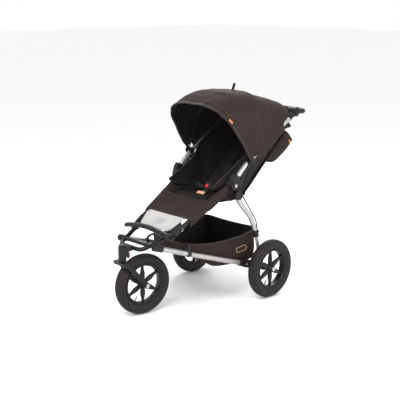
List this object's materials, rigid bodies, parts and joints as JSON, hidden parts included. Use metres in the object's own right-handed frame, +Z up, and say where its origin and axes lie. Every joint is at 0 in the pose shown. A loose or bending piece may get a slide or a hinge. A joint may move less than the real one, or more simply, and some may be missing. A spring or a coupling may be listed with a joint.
{
  "type": "baby stroller",
  "caption": "Folding baby stroller: swivelling front wheel, tubular folding frame, reclining harness seat, arched canopy, under-seat basket and tilting U-shaped handlebar.",
  "frame": {"origin": "middle of the footprint, on the ground", "axes": "+Z up, -Y to the front of the stroller, +X to its left"},
  "size_m": [0.635, 1.1894, 1.09],
  "materials": {
    "tyre": "matt",
    "rim": "satin",
    "silver_tube": "satin",
    "footplate": "satin",
    "fabric": "woven",
    "webbing": "woven",
    "red_button": "gloss",
    "grip_foam": "matt",
    "knob": "satin",
    "black_paint": "satin",
    "black_plastic": "satin"
  },
  "bodies": {
    "chassis": {"side_tube_left": "silver_tube", "side_tube_right": "silver_tube", "front_frame": "black_paint", "bumper_bar": "black_paint", "axle_tube": "silver_tube", "rear_bracket_left": "black_plastic", "rear_bracket_right": "black_plastic", "basket": "fabric"},
    "swivel_lock": {"swivel_lock_knob": "knob"},
    "fork": {"fork": "black_paint", "front_axle": "silver_tube"},
    "front_wheel": {"front_tyre": "tyre", "front_rim": "rim"},
    "rear_wheel_left": {"rear_tyre_left": "tyre", "rear_rim_left": "rim", "rear_hub_cap_left": "silver_tube"},
    "rear_wheel_right": {"rear_tyre_right": "tyre", "rear_rim_right": "rim", "rear_hub_cap_right": "silver_tube"},
    "brake": {"brake_pedal": "black_plastic"},
    "rear_legs": {"rear_leg_left": "silver_tube", "rear_leg_right": "silver_tube", "leg_top_left": "black_plastic", "leg_top_right": "black_plastic", "leg_collar_left": "black_plastic", "leg_collar_right": "black_plastic", "leg_foot_left": "black_plastic", "leg_foot_right": "black_plastic"},
    "seat_frame": {"seat_tube_left": "black_paint", "seat_tube_right": "black_paint", "front_knuckle_left": "black_plastic", "front_knuckle_right": "black_plastic", "hinge_lower_left": "black_plastic", "hinge_lower_right": "black_plastic", "footplate_bracket_left": "black_plastic", "footplate_bracket_right": "black_plastic", "footplate": "footplate", "seat_base": "fabric", "lap_harness": "webbing", "buckle": "black_plastic"},
    "buckle_release": {"buckle_button": "red_button"},
    "handle_frame": {"handle_tube_left": "silver_tube", "handle_tube_right": "silver_tube", "hinge_upper_left": "black_plastic", "hinge_upper_right": "black_plastic", "hinge_bolt_left": "silver_tube", "hinge_bolt_right": "silver_tube", "bar_housing_left": "black_plastic", "bar_housing_right": "black_plastic", "canopy_fabric": "fabric"},
    "handlebar": {"handlebar": "grip_foam"},
    "bar_release_left": {"bar_button_left": "black_plastic"},
    "bar_release_right": {"bar_button_right": "black_plastic"},
    "back": {"backrest": "fabric", "pouch": "fabric", "shoulder_strap_left": "webbing", "shoulder_strap_right": "webbing"},
    "canopy_front": {"canopy_front_bow": "black_plastic"},
    "canopy_mid": {"canopy_mid_bow": "black_plastic"}
  },
  "joints": [
    {"name": "front_swivel", "type": "hinge", "parent": "chassis", "child": "fork", "pos_m": [0, -0.55375, 0.326], "axis": [0, 0, 1], "continuous": true},
    {"name": "front_wheel_spin", "type": "hinge", "parent": "fork", "child": "front_wheel", "pos_m": [0.01404, -0.44263, 0.1525], "axis": [0.9921, -0.1253, 0], "continuous": true},
    {"name": "rear_wheel_left_spin", "type": "hinge", "parent": "chassis", "child": "rear_wheel_left", "pos_m": [0.2885, 0.19225, 0.1525], "axis": [1, 0, 0], "continuous": true},
    {"name": "rear_wheel_right_spin", "type": "hinge", "parent": "chassis", "child": "rear_wheel_right", "pos_m": [-0.2885, 0.19225, 0.1525], "axis": [1, 0, 0], "continuous": true},
    {"name": "swivel_lock_press", "type": "slide", "parent": "chassis", "child": "swivel_lock", "axis": [0, 0, -1], "range_m": [0, 0.004]},
    {"name": "brake_press", "type": "hinge", "parent": "chassis", "child": "brake", "pos_m": [0, 0.19225, 0.1525], "axis": [-1, 0, 0], "range_deg": [0, 22]},
    {"name": "handle_fold", "type": "hinge", "parent": "seat_frame", "child": "handle_frame", "pos_m": [0, -0.00275, 0.61], "axis": [1, 0, 0], "range_deg": [0, 155], "deforming": ["canopy_fabric", "canopy_front_bow", "canopy_mid_bow", "backrest", "pouch", "seat_base", "lap_harness", "shoulder_strap_left", "shoulder_strap_right", "basket", "buckle", "buckle_button"]},
    {"name": "seat_fold", "type": "hinge", "parent": "chassis", "child": "seat_frame", "pos_m": [0, -0.36075, 0.4], "axis": [1, 0, 0], "range_deg": [-22.01, 0]},
    {"name": "leg_fold", "type": "hinge", "parent": "chassis", "child": "rear_legs", "pos_m": [0, 0.19225, 0.1525], "axis": [1, 0, 0], "range_deg": [0, 42.01]},
    {"name": "handlebar_tilt", "type": "hinge", "parent": "handle_frame", "child": "handlebar", "pos_m": [0, 0.45425, 0.937], "axis": [1, 0, 0], "range_deg": [-55, 55]},
    {"name": "bar_button_left_press", "type": "slide", "parent": "handle_frame", "child": "bar_release_left", "axis": [-1, 0, 0], "range_m": [0, 0.0035], "stiffness_N_per_m": 300, "springref_m": -0.003},
    {"name": "bar_button_right_press", "type": "slide", "parent": "handle_frame", "child": "bar_release_right", "axis": [1, 0, 0], "range_m": [0, 0.0035], "stiffness_N_per_m": 300, "springref_m": -0.003},
    {"name": "recline", "type": "hinge", "parent": "handle_frame", "child": "back", "pos_m": [0, 0.10025, 0.515], "axis": [1, 0, 0], "range_deg": [-12, 20], "deforming": ["canopy_fabric", "backrest", "pouch", "seat_base", "lap_harness"]},
    {"name": "canopy_fold", "type": "hinge", "parent": "handle_frame", "child": "canopy_front", "pos_m": [0, 0.10225, 0.722], "axis": [-1, 0, 0], "range_deg": [0, 56], "deforming": ["canopy_fabric"]},
    {"name": "canopy_mid_fold", "type": "hinge", "parent": "handle_frame", "child": "canopy_mid", "pos_m": [0, 0.10225, 0.722], "axis": [-1, 0, 0], "range_deg": [0, 38.1]},
    {"name": "buckle_press", "type": "slide", "parent": "seat_frame", "child": "buckle_release", "axis": [0, 0.8829, -0.4695], "range_m": [0, 0.003], "stiffness_N_per_m": 200, "springref_m": -0.003}
  ],
  "couplings": [
    {"joint": "seat_fold", "follows": "handle_fold", "ratio": -0.14194},
    {"joint": "leg_fold", "follows": "handle_fold", "ratio": 0.27097},
    {"joint": "canopy_mid_fold", "follows": "canopy_fold", "ratio": 0.68}
  ]
}
